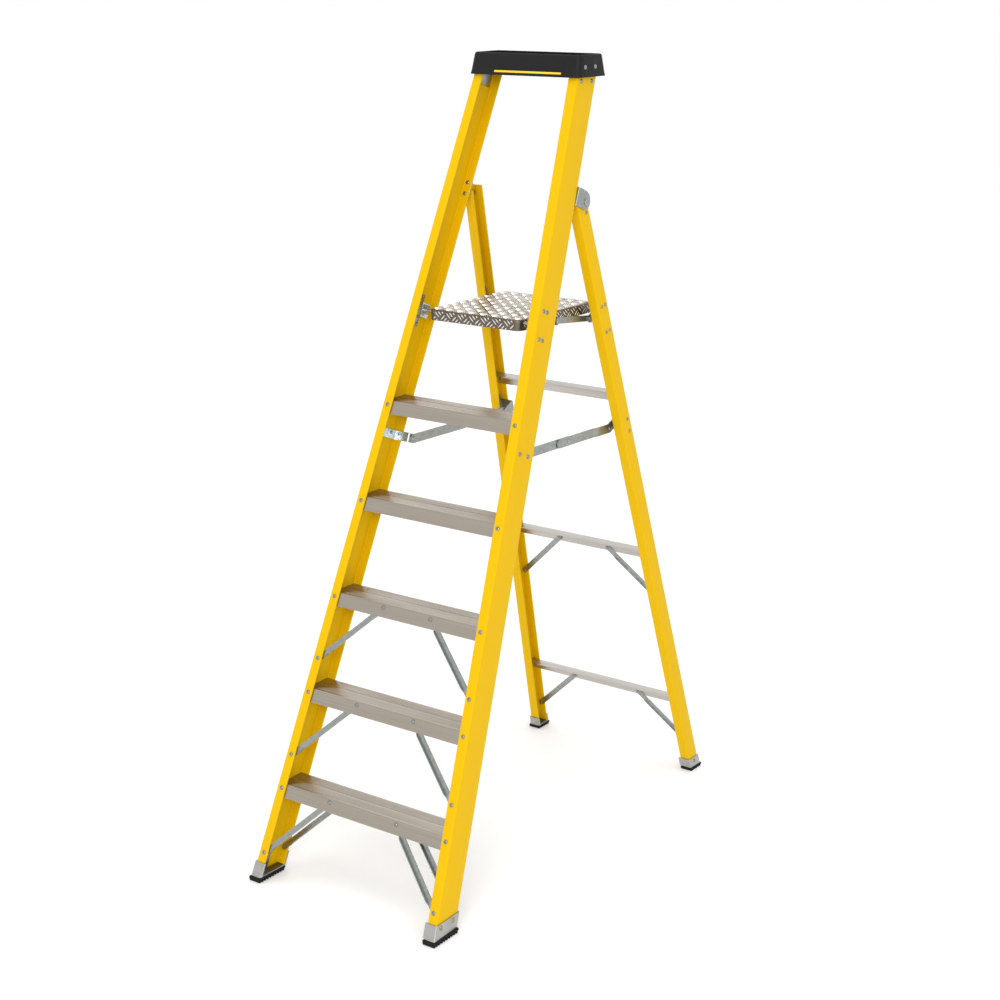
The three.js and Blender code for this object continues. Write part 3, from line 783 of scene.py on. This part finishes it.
def web_plate(size, near, far, low, high, half):
    """A flat plate on the inside of a channel's web."""
    outer = -size["wall"] - GAP
    outline = rounded_rectangle(outer - PLATE, outer, near, far, 0.5, 2)
    return member(outline, lambda d: low, lambda d: high, half)


def cap_brackets():
    plate = web_plate(STILE, 10, 66, 2092, 2142, front_half)
    pair("cap_bracket_plate", plate, FRONT, ZINC, "front_frame", 0.5, "cap_bracket")


# ---------------------------------------------------------------- main hinge
def main_hinge():
    """A plate on the stile's rear flange, bent back into a D-shaped ear, and a headed pin."""
    depth, along = HINGE
    face = STILE["depth"] + GAP + PLATE / 2
    outer = HINGE_EAR_X + PLATE / 2
    path = bent_path([(outer - 28.5, face), (outer, face), (outer, depth + 17)], 2.6, 6)
    stations = []
    for point in path:
        if point.x < outer - 3:
            stations.append((point.x, point.y, along - 20, along + 38))
        else:
            stations.append((point.x, point.y, along - 20, along + 26))
    straight = stations.pop()
    for beyond in (-20, -9, -3, 3, 8, 12, 15, 16.6, 17):
        low = along - math.sqrt(max(20 ** 2 - max(beyond + 3, 0) ** 2, 0.05))
        high = along + math.sqrt(max(26 ** 2 - max(beyond + 9, 0) ** 2, 0.05))
        stations.append((straight[0], depth + beyond, low, high))
    plate = strip(stations, PLATE, lambda u, v, w: (u, v, w))
    pair("hinge_plate", plate, FRONT, ZINC, "front_frame", 0.5, "hinge_bracket")
    inner = REAR_HALF_WIDTH - LEG["wall"] - 1
    head = HINGE_EAR_X + PLATE + GAP
    profile = [(inner - 3.8, 0.5), (inner - 3.6, 4.5), (inner - 2.4, 6.8), (inner, 7.2), (inner, 6)]
    profile += [(head, 6), (head, 9), (head + 1.2, 9), (head + 2.4, 8), (head + 3.2, 5.5), (head + 3.5, 0.5)]
    bolt = lathe_x(profile, *HINGE)
    pair("hinge_bolt", bolt, FRONT, BRIGHT, "front_frame", node="hinge_pin")


# ---------------------------------------------------------------- platform
def deck_outline(low, high, inset):
    radius = DECK_CORNER - inset
    return rounded_rectangle(low.x + inset, high.x - inset, low.y + inset, high.y - inset, radius, 8)


def platform_deck():
    """A pressed pan with a rolled edge, two lugs, and raised bars. Returns the place of the lugs."""
    low, high = (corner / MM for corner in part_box("platform_deck"))
    top, bottom = high.z, high.z - DECK_HEIGHT
    rings = [[(x, y, top - DECK_WALL) for x, y in deck_outline(low, high, DECK_WALL)]]
    for inset, z in ((DECK_WALL, bottom + 0.5), (DECK_WALL - 0.6, bottom), (0.6, bottom), (0, bottom + 0.6)):
        rings.append([(x, y, z) for x, y in deck_outline(low, high, inset)])
    for k in range(7):
        a = k * 15 * DEG
        inset, z = 4.5 * (1 - math.cos(a)), top - 4.5 + 4.5 * math.sin(a) - 0.4
        rings.append([(x, y, z) for x, y in deck_outline(low, high, inset)])
    pan = loft(rings)
    # The pan's dark colour is painted shade.
    piece("platform_pan", pan, LEVEL, DECK_METAL, "platform", 0, ("platform_deck",))
    joint = pivot("platform_fold")
    arm = pivot("arm_right_fold")
    share = LUG_DISTANCE / (arm - joint).length
    lug = joint.lerp(arm, share)
    outline = arc(lug.y, lug.z, 12, 180, 360, 14) + [(lug.y + 12, bottom + 1), (lug.y - 12, bottom + 1)]
    sides = across_x(outline, *LUG_SIDES)
    pair("platform_lug", sides, LEVEL, DECK_METAL, "platform", 0.4)
    tread_bars(low, high)
    return lug


def bar_lump(centre, heading, side, up, length, width, height):
    """One raised bar of tread plate: a long low dome, pointed at both ends."""
    shape = [
        (-1, 0), (-0.72, 0.62), (-0.3, 1), (0.3, 1), (0.72, 0.62),
        (1, 0), (0.72, -0.62), (0.3, -1), (-0.3, -1), (-0.72, -0.62),
    ]
    rings = []
    for share, rise in ((1, -0.5), (1, 0.1), (0.8, 0.75), (0.5, 1)):
        ring = []
        for u, v in shape:
            ahead = heading * u * share ** 0.4 * length / 2
            aside = side * v * share * width / 2
            ring.append(tuple(centre + ahead + aside + up * rise * height))
        rings.append(ring)
    return loft(rings)


def kept_stretch(x, y, heading, inside):
    """The two ends, from the bar's middle, of the part of it that lies inside a sheet's limits."""
    spots = [
        e for e in range(-BAR_REACH, BAR_REACH + 1) if inside(x + heading.x * e, y + heading.y * e)
    ]
    return (spots[0], spots[-1]) if len(spots) > 5 else None


def sheet_bars(width, depth, inside, to, up, count, bar_width):
    """Groups of parallel bars in alternating directions over the part of a flat sheet that is `inside`.

    `to` maps a point of the sheet into place, and `up` points out of it.
    """
    solids = []
    reach = int((width + depth) / BAR_CELL) + 2
    diagonal = math.sqrt(0.5)
    for i in range(-reach, reach):
        for j in range(-reach, reach):
            for k in range(count):
                shift = (k - (count - 1) / 2) * BAR_CELL / count
                along, across = (i + 0.5) * BAR_CELL, (j + 0.5) * BAR_CELL
                if (i + j) % 2:
                    u, v, turn = along, across + shift, 0
                else:
                    u, v, turn = along + shift, across, 90
                x, y = (u - v) * diagonal, (u + v) * diagonal
                angle = (45 + turn) * DEG
                heading = Vector((math.cos(angle), math.sin(angle)))
                ends = kept_stretch(x, y, heading, inside)
                if ends:
                    low, high = (to(x + heading.x * e, y + heading.y * e) for e in ends)
                    ahead = (high - low).normalized()
                    aside = up.cross(ahead)
                    length = (high - low).length + 0.4
                    middle = (low + high) / 2
                    solids.append(bar_lump(middle, ahead, aside, up, length, bar_width, BAR_HEIGHT))
    return merge(*solids)


def tread_bars(low, high):
    """Bars on the top, and on the folded front, rear and side walls."""
    wide, deep, top = high.x - low.x, high.y - low.y, high.z
    mid_x, mid_y = (low.x + high.x) / 2, (low.y + high.y) / 2

    def on_top(x, y):
        past_x = max(abs(x) - wide / 2 + DECK_CORNER, 0)
        past_y = max(abs(y) - deep / 2 + DECK_CORNER, 0)
        return math.hypot(past_x, past_y) < DECK_CORNER - 3.5

    def top_place(x, y):
        return Vector((mid_x + x, mid_y + y, top - 0.4))

    sheet = sheet_bars(wide, deep, on_top, top_place, Vector((0, 0, 1)), 5, 2.5)
    # The top's bars are painted paler than the pan, as painted highlight.
    piece("platform_top_bars", sheet, LEVEL, TOP_BAR_METAL, "platform")

    # On a wall, x runs along it and y upwards. The pattern sits `row` lower than the wall's middle, so
    # that a row of whole groups fits between the wall's edges.
    row, half_wall = 8.8, 12
    wall_middle, margin = top - 14.5, DECK_CORNER - 3
    pattern_depth = 2 * (half_wall + row)

    def wall_bars(length, to, outward):
        def on_wall(x, y):
            return abs(x) < length / 2 - margin and abs(y - row) < half_wall

        return sheet_bars(length, pattern_depth, on_wall, to, Vector(outward), 3, 3)

    solids = []
    for sign in (-1, 1):
        end = low.y if sign < 0 else high.y
        side = high.x * sign
        walls = (
            (wide, lambda x, y: Vector((mid_x + x, end, wall_middle + y - row)), (0, sign, 0)),
            (deep, lambda x, y: Vector((side, mid_y + x, wall_middle + y - row)), (sign, 0, 0)),
        )
        for length, to, outward in walls:
            solids.append(wall_bars(length, to, outward))
    # The walls' bars are painted paler still, as painted highlight.
    piece("platform_wall_bars", merge(*solids), LEVEL, BAR_METAL, "platform")


def platform_brackets():
    """A plate on each stile's web with a hat-shaped fold on it, and the pin through the platform."""
    depth, along = PLATFORM_PIVOT
    near, far, face = 12, 41, 165.5
    base = web_plate(STILE, near, far, along - 42, along + 40, front_half)
    pair("platform_bracket_plate", base, FRONT, ZINC, "front_frame", 0.5, "platform_bracket")
    web = front_half(along) - 8
    low, high = along - 18.5, along + 16.5
    path = bent_path([(web, low), (face, low), (face, along), (face, high), (web, high)], PLATE, 5)
    stations = [(p.x, p.y, near, far) for p in path if abs(p.x - face) > 0.01 or abs(p.y - along) > 3]
    notch = [(face, along + rise, near, end) for rise, end in ((-8.5, far), (-8.3, 33), (6.8, 33), (7, far))]
    middle = sum(1 for station in stations if station[1] < along)
    stations[middle:middle] = notch
    fold = strip(stations, PLATE, lambda u, v, w: (u, w, v))
    # The fold is painted paler than its own plate, as painted highlight.
    pair("platform_bracket_fold", fold, FRONT, HIGHLIGHT_ZINC, "front_frame", 0.5)
    profile = [(132.7, 0.5), (132.9, 3.6), (134, 5.1), (136.5, 5.5), (136.5, 4.5), (167.3, 4.5)]
    profile += [(167.3, 7), (168.3, 7), (169.6, 6), (170.3, 0.5)]
    bolt = lathe_x(profile, depth, along)
    pair("platform_bolt", bolt, FRONT, BRIGHT, "front_frame", node="platform_pin")


def platform_arms(lug):
    """Straps from the platform's lugs back to brackets on the rear legs."""
    rear_end = pivot("arm_right_fold")
    heading = (rear_end - lug).normalized()
    length = (rear_end - lug).length
    stations = round_start(0, 8) + [(length * 0.5, 7.8)] + round_end(length, 7.5)
    strap = flat_bar(lug, heading, stations, lambda station: ARM_X + PLATE / 2)
    pair("platform_arm_strap", strap, LEVEL, ZINC, "arm_{}", 0.5, "platform_arm")
    head = rivets([((ARM_X + PLATE, lug.y, lug.z), (1, 0, 0))], 6, 2.6)
    pair("platform_arm_rivet", head, LEVEL, BRIGHT, "arm_{}")
    ear = ARM_X + PLATE + 2 * GAP
    shape = {"near": -24, "low": -355, "high": -265, "ear": ear, "tip": 11}
    leg_bracket("rear_platform_bracket", ARM_REAR, shape)
    end = ear + PLATE + GAP
    profile = [(ARM_X + GAP, 0.5), (ARM_X + GAP, 4.5), (end, 4.5)]
    profile += [(end, 7), (end + 1, 7), (end + 2.3, 6), (end + 3, 0.5)]
    bolt = lathe_x(profile, *ARM_REAR)
    pair("platform_arm_bolt", bolt, REAR, BRIGHT, "rear_frame", node="platform_arm_pin")


def rounded_ear(x, depth, along, radius, ahead):
    """Strip stations that close an ear with a half circle; `ahead` is 1 or -1 along the depth."""
    stations = []
    for k in range(7):
        angle = k * 15 * DEG
        half = max(radius * math.cos(angle), 0.4)
        stations.append((x, depth + ahead * radius * math.sin(angle), along - half, along + half))
    return stations


def leg_bracket(node, at, shape):
    """A plate on the leg's web, bent across the rear flange, and bent forward into an ear."""
    depth, along = at
    back = LEG["front"] + LEG["depth"] - LEG["wall"] - GAP - PLATE / 2
    web = rear_half(along) - LEG["wall"] - GAP - PLATE / 2
    ear, tip = shape["ear"] + PLATE / 2, shape["tip"]
    path = bent_path([(web, shape["near"]), (web, back), (ear, back), (ear, depth)], PLATE, 5)
    stations = []
    for point in path:
        if point.x > web - 2:
            stations.append((point.x, point.y, shape["low"], shape["high"]))
        elif point.x > ear + 2 or point.y > back - 3:
            stations.append((point.x, point.y, along - tip - 4, along + tip + 4))
    stations.append((ear, depth + 3, along - tip - 1, along + tip + 1))
    stations += rounded_ear(ear, depth, along, tip, -1)
    solid = strip(stations, PLATE, lambda u, v, w: (u, v, w))
    pair(f"{node}_bent", solid, REAR, ZINC, "rear_frame", 0.5, node)


# ---------------------------------------------------------------- spreader stays
def stay_front_brackets():
    """Plates on the stiles' webs, bent inwards and forwards into the ears that carry the stays."""
    depth, along = STAY_FRONT
    half = STAY_HALF_WIDTH
    back = STILE["depth"] - STILE["wall"] - GAP - PLATE / 2
    web = front_half(along) - STILE["wall"] - GAP - PLATE / 2
    ear = REAR_LINK_X + PLATE / 2
    path = bent_path([(web, 12), (web, back), (ear, back), (ear, depth)], PLATE, 5)
    stations = [(p.x, p.y, along - half, along + half) for p in path[:-1]]
    stations += rounded_ear(ear, depth, along, half, 1)
    solid = strip(stations, PLATE, lambda u, v, w: (u, v, w))
    node = "spreader_front_bracket"
    # The whole bracket is painted paler than the other zinc parts, as painted highlight.
    pair(f"{node}_bent", solid, FRONT, HIGHLIGHT_ZINC, "front_frame", 0.5, node)


def stays():
    """Two links on each side that meet at a middle pin, and the brackets at their rear ends."""
    front_end, rear_end = pivot("front_link_right_fold"), pivot("rear_link_right_fold")
    heading = (rear_end - front_end).normalized()
    middle = front_end + heading * STAY_FRONT_LENGTH
    front_link = link(front_end, heading, 0, STAY_FRONT_LENGTH, lambda station: STAY_X + PLATE / 2)
    node = "spreader_front_link"
    pair("spreader_front_strap", front_link, LEVEL, ZINC, "front_link_{}", 0.5, node)
    length = (rear_end - middle).length

    def stepped(station):
        share = min(max((station - length + 80) / 20, 0), 1)
        return REAR_LINK_X + PLATE / 2 + 3.4 * share * share * (3 - 2 * share)

    rear_link = link(middle, heading, -40, length, stepped)
    node = "spreader_rear_link"
    pair("spreader_rear_strap", rear_link, LEVEL, ZINC, "rear_link_{}", 0.5, node)

    near = STAY_X - GAP
    profile = [(STAY_X - 3, 0.5), (STAY_X - 2.8, 3.6), (STAY_X - 1.8, 6.2), (near, 7), (near, 4.2)]
    profile += [(STAY_X + 2.7, 4.2), (STAY_X + 2.7, 0.5)]
    pin = lathe_x(profile, middle.y, middle.z)
    node = "spreader_mid_pin"
    pair("spreader_mid_rivet", pin, LEVEL, BRIGHT, "front_link_{}", node=node)
    outer = rivets([((REAR_LINK_X + PLATE, middle.y, middle.z), (1, 0, 0))], 6.5, 2.4)
    pair("spreader_rear_link_rivet", outer, LEVEL, BRIGHT, "rear_link_{}")
    ends = rivets([((STAY_X, front_end.y, front_end.z), (-1, 0, 0))], 6, 2.4)
    pair("spreader_front_link_rivet", ends, LEVEL, BRIGHT, "front_link_{}")
    tail = rivets([((REAR_LINK_X + 6.4, rear_end.y, rear_end.z), (1, 0, 0))], 6, 2.4)
    pair("spreader_rear_end_rivet", tail, LEVEL, BRIGHT, "rear_link_{}")
    shape = {"near": -13, "low": -646, "high": -590, "ear": REAR_LINK_X, "tip": 11}
    leg_bracket("spreader_rear_bracket", STAY_REAR, shape)


def link(start, heading, low, high, middle_x):
    """One link of a stay, from `low` to `high` along a heading."""
    half, steps = STAY_HALF_WIDTH, 24
    straight = [(low + (high - low) * k / steps, half) for k in range(1, steps)]
    return flat_bar(start, heading, round_start(low, half) + straight + round_end(high, half), middle_x)


# ---------------------------------------------------------------- rivets
def frame_rivets():
    """Domed rivet heads on the stiles, treads, legs and rungs, and brass ones on the shoes."""
    forward, backward, outward, inward = (0, -1, 0), (0, 1, 0), (1, 0, 0), (-1, 0, 0)
    front = []
    for number in range(5):
        along = TREAD_FIRST + number * TREAD_PITCH - 11.5
        front.append(((front_half(along) - 14.8, 0, along), forward))
        front.append(((front_half(along + 28) - 14.8, STILE["depth"], along + 28), backward))
    below, across, lows = TREAD_BRACE
    for number, low in enumerate(lows):
        top = TREAD_FIRST + number * TREAD_PITCH - below
        x = front_half(low) - BRACE_INSET
        front.append(((x + 0.6, 0, low), forward))
        front.append(((x - across, STILE["wall"] + GAP, top), forward))
    top, low, across = TREAD_REAR_BRACE
    x = front_half(low) - BRACE_INSET
    front.append(((x, STILE["depth"], low), backward))
    front.append(((x - across, STILE["depth"] - STILE["wall"] - GAP, top), backward))
    # Through the webs: four at the platform bracket, two at the stay bracket, two at the cap bracket.
    web = [(depth, along) for along in (1463.5, 1533) for depth in (20, 36)]
    web += [(20, 1182), (55.7, 1182), (18, 2103.6), (62.4, 2119.9)]
    for depth, along in web:
        front.append(((front_half(along), depth, along), outward))
    for along in (1817, 1846):
        front.append(((front_half(along) - 14, STILE["depth"] - 4, along), forward))
    pair("front_frame_rivets", rivets(front), FRONT, RIVET, "front_frame")
    inside = [((front_half(along) - 7.3, depth, along), inward) for depth, along in web[:6]]
    pair("front_bracket_rivets", rivets(inside, 4.4, 2), FRONT, RIVET, "front_frame")

    lining = [((front_half(along) - 6.3, depth, along), inward) for depth, along in ((18, 60), (30, 66))]
    pair("front_shoe_lining_rivets", rivets(lining, 3.6, 1.6), FRONT, RIVET, "front_frame")

    # Through the legs' webs: four at the platform bracket, two at the stay bracket, one near the hinge.
    web = [(-15.5, -274.9), (0, -274.9), (-17, -344.4), (-1.5, -344.4)]
    web += [(-2, -598.8), (-3, -632.5), (-1.5, -27)]
    rear = [((rear_half(along), depth, along), outward) for depth, along in web]
    leg_back = LEG["front"] + LEG["depth"]
    for top in RUNG_TOPS.values():
        along = top - 20
        rear.append(((rear_half(along) - 14, RUNG_BACK - RUNG_WALL, along), forward))
        rear.append(((rear_half(along) - 14, leg_back, along), backward))
    high, deep, across = RUNG_BRACE
    for place in ("middle", "lower"):
        top, low = RUNG_TOPS[place] - high, RUNG_TOPS[place] - deep
        x = rear_half(low) - BRACE_INSET
        rear.append(((x, RUNG_BACK - BRACE_WALL, low), forward))
        rear.append(((x, leg_back, low), backward))
        rear.append(((x - across, 2.4, top), forward))
        rear.append(((x - across, RUNG_BACK, top), backward))
    pair("rear_frame_rivets", rivets(rear, 4.6, 2.3), REAR, RIVET, "rear_frame")

    brass = [((front_half(along) + 3.2, depth, along), outward) for depth, along in ((15, 47), (59.2, 64))]
    pair("front_shoe_rivets", rivets(brass, 6.2, 2.4), FRONT, BRASS, "front_frame")
    along = rear_level(25, -10)
    brass = [((rear_half(along) + 3.2, -10, along), outward)]
    pair("rear_shoe_rivets", rivets(brass, 5.6, 2.2), REAR, BRASS, "rear_frame")


# ---------------------------------------------------------------- studio
def studio():
    """A wide pale floor under a white sky, with three large soft lamps."""
    floor_mesh = bpy.data.meshes.new("floor")
    size = 300
    corners = [(-size, -size, 0), (size, -size, 0), (size, size, 0), (-size, size, 0)]
    floor_mesh.from_pydata(corners, [], [(0, 1, 2, 3)])
    floor = bpy.data.objects.new("floor", floor_mesh)
    pale = Look("pale_floor", (0.975, 0.975, 0.975), 0.9)
    floor_mesh.materials.append(pale.material)
    scene.collection.objects.link(floor)

    world = bpy.data.worlds.new("studio")
    world.use_nodes = True
    world.node_tree.nodes["Background"].inputs["Color"].default_value = (1, 1, 1, 1)
    world.node_tree.nodes["Background"].inputs["Strength"].default_value = 1.03
    scene.world = world
    scene.view_settings.view_transform = "Standard"

    for name, place, size, power in (
        ("key", (3.0, -5.4, 3.4), 3.0, 150),
        ("top", (0.2, -0.6, 5.4), 2.6, 30),
        ("back", (-3.3, 4.7, 2.6), 3.0, 16),
    ):
        lamp = bpy.data.lights.new(name, "AREA")
        lamp.size = size
        lamp.energy = power
        light = bpy.data.objects.new(name, lamp)
        light.location = place
        light.visible_camera = False
        light.rotation_mode = "QUATERNION"
        light.rotation_quaternion = (Vector((0, 0, 1)) - light.location).to_track_quat("-Z", "Y")
        scene.collection.objects.link(light)


def camera():
    """Aimed by azimuth and tilt, then turned a little about the world's X axis."""
    azimuth, tilt = 35.83 * DEG, 15.95 * DEG
    look = Vector((-math.sin(azimuth) * math.cos(tilt), math.cos(azimuth) * math.cos(tilt), -math.sin(tilt)))
    lens = bpy.data.cameras.new("camera")
    lens.sensor_width = 36
    lens.lens = 67.53
    lens.clip_end = 1000
    view = bpy.data.objects.new("camera", lens)
    view.location = (2.7297, -3.7310, 2.2415)
    view.rotation_mode = "QUATERNION"
    lean = Quaternion((1, 0, 0), -0.32 * DEG)
    view.rotation_quaternion = lean @ look.to_track_quat("-Z", "Y")
    scene.collection.objects.link(view)
    scene.camera = view


stiles_and_legs()
treads()
rungs()
braces()
feet()
top_cap()
cap_brackets()
main_hinge()
lug_place = platform_deck()
platform_brackets()
platform_arms(lug_place)
stay_front_brackets()
stays()
frame_rivets()
studio()
camera()
